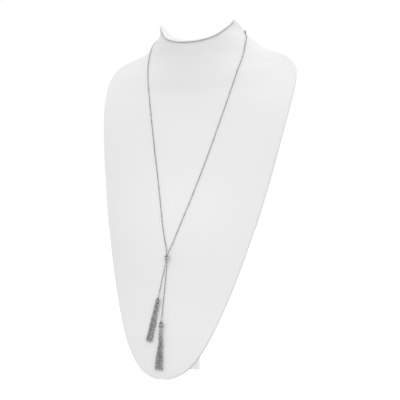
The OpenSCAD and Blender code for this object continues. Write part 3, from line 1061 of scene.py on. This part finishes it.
def cap_axis(tassel):
    """The top of a cap and the way it points."""
    top = down_bust(tassel, 0, 0, CAP_LIFT)
    return top, unit(top - down_bust(tassel, CAP_H, 0, CAP_LIFT))


def tassel_cap(key, tassel, silver):
    """A bell: a rolled mouth, a straight wall a step further in, a dome, an eye, and a hollow."""
    top, up = cap_axis(tassel)
    r = CAP_D / 2
    wall = r - CAP_STEP
    dome_h = wall * math.sin(math.radians(DOME_DEG))
    a = np.radians(np.linspace(-90, 90, CAP_LIP_POINTS))
    lip = np.stack([r - CAP_LIP_W * (1 - np.cos(a)), CAP_LIP_H * (1 + np.sin(a))], -1)
    b = np.radians(np.linspace(0, 90, DOME_POINTS))
    dome = np.stack([wall * np.cos(b), CAP_H - dome_h * (1 - np.sin(b))], -1)
    dome[-1, 0] = POLE_R
    inside = [
        (POLE_R, CAP_HOLLOW), (CAP_WALL_R - HOLLOW_ROUND, CAP_HOLLOW),
        (CAP_WALL_R, CAP_HOLLOW - HOLLOW_ROUND), (CAP_WALL_R, HOLLOW_FOOT)]
    bell = turned(np.concatenate([lip, dome, inside]), AROUND)
    eye_points, eye_faces = torus(EYE_R, EYE_WIRE, segments=36, sides=12)
    eye_points = eye_points[:, [2, 0, 1]] + np.array([0, 0, CAP_H + EYE_R - EYE_WIRE / 2])
    points, faces = joined(bell, (eye_points, eye_faces))
    points = stand(points, top - CAP_H * up, up, outward(*map(float, tassel["top"])))
    piece = mesh_piece("tassel_%s_bell" % key, points, faces, silver, sharp_deg=55)
    dress(piece, "polished_silver", "tassel_%s_cap" % key)


def jump_ring(key, tassel, silver):
    """The ring between the chain's end and the cap's eye, flat to the bust."""
    top, up = cap_axis(tassel)
    points, faces = torus(RING_R, RING_WIRE, segments=48, sides=12)
    middle = top + (EYE_R - EYE_WIRE / 2 + RING_R) * up
    points = stand(points, middle, outward(*map(float, tassel["top"])), up)
    piece = mesh_piece("tassel_%s_jump_ring" % key, points, faces, silver)
    dress(piece, "polished_silver", "tassel_%s_ring" % key)


def tassel_strands(key, tassel, silver):
    """Fine chains in layers. A strand starts in the cap, keeps its own share of the tassel's half
    width down to its end, waves aside and ripples up and down a little, and ends at its own
    length. In the cap the outer layers are narrower, so that all of them fit its round."""
    shapes = []
    down, half_widths = np.transpose(tassel["half_widths"])
    length = tassel["length"]
    for layer, (lift_end, number) in enumerate(LAYERS):
        from_middle = layer - 1
        places = np.linspace(-1, 1, number) + rng.uniform(-PLACE_CHANCE, PLACE_CHANCE, number)
        for place in places:
            share = 1 - SHORTER_CHANCE * rng.random() ** 1.5 - SHORTER_OUTSIDE * abs(place)
            along = np.linspace(STRAND_START, length * share, STRAND_POINTS)
            t = np.clip((along - SPREAD_FROM) / (length - SPREAD_FROM), 0, 1)
            reach = np.interp(t, down, half_widths) - STRAND_LINK_W / 2
            phase, turns = rng.uniform(0, 2 * np.pi), rng.uniform(*WAVE_TURNS)
            free = ease(t * FREE_RATE)
            wave = WAVE * np.sin(phase + 2 * np.pi * turns * t) * free
            in_round = math.sqrt(1 - LAYER_ROUND * from_middle**2)
            aside = place * reach * mix(in_round, 1, free) + wave
            aside = aside + np.interp(t, *np.transpose(tassel["sway"]))
            ripple_way = phase * RIPPLE_PHASE + 2 * np.pi * (turns + RIPPLE_MORE_TURNS) * t
            ripple = RIPPLE * np.sin(ripple_way) * free
            lift_start = CAP_LIFT + LAYER_IN_CAP * from_middle
            lift = mix(lift_start, lift_end, ease(t * LIFT_RATE)) + ripple
            path = down_bust(tassel, along, aside, np.maximum(lift, LEAST_LIFT))
            tilt = rng.uniform(0, 90)
            shapes.append(chain_links(
                path, outward(path[:, 0], path[:, 2]), STRAND_LINK_L, STRAND_LINK_W, STRAND_WIRE,
                segments=10, sides=5,
                twist_deg=lambda way: tilt + STRAND_TWIST_DEG * np.sin(2 * np.pi * turns * way)))
    points, faces = joined(*shapes)
    piece = mesh_piece("tassel_%s_fringe" % key, points, faces, silver)
    dress(piece, "silver_chain", "tassel_%s_strands" % key)


# All the pieces, in their finishes

neck_bust(leatherette())
neck_piping(piping_cloth())
light_from_table(easel_strut(strut_board()))
chain_wire = chain_silver("chain_silver", CHAIN_TONE, spread=0.2)
# Painted light: the fringe's silver is lighter than the chain's to offset the shade among its
# strands.
fringe_wire = chain_silver("fringe_silver", LIGHTENED_FRINGE_TONE, spread=0.18)
bead_silver = polished_silver("bead_silver", BEAD_TONE)
cap_silver = polished_silver("cap_silver", CAP_TONE)
necklace_chain(chain_wire)
slider_bead(bead_silver)
for key, tassel in TASSELS.items():
    jump_ring(key, tassel, bead_silver)
    tassel_cap(key, tassel, cap_silver)
    tassel_strands(key, tassel, fringe_wire)
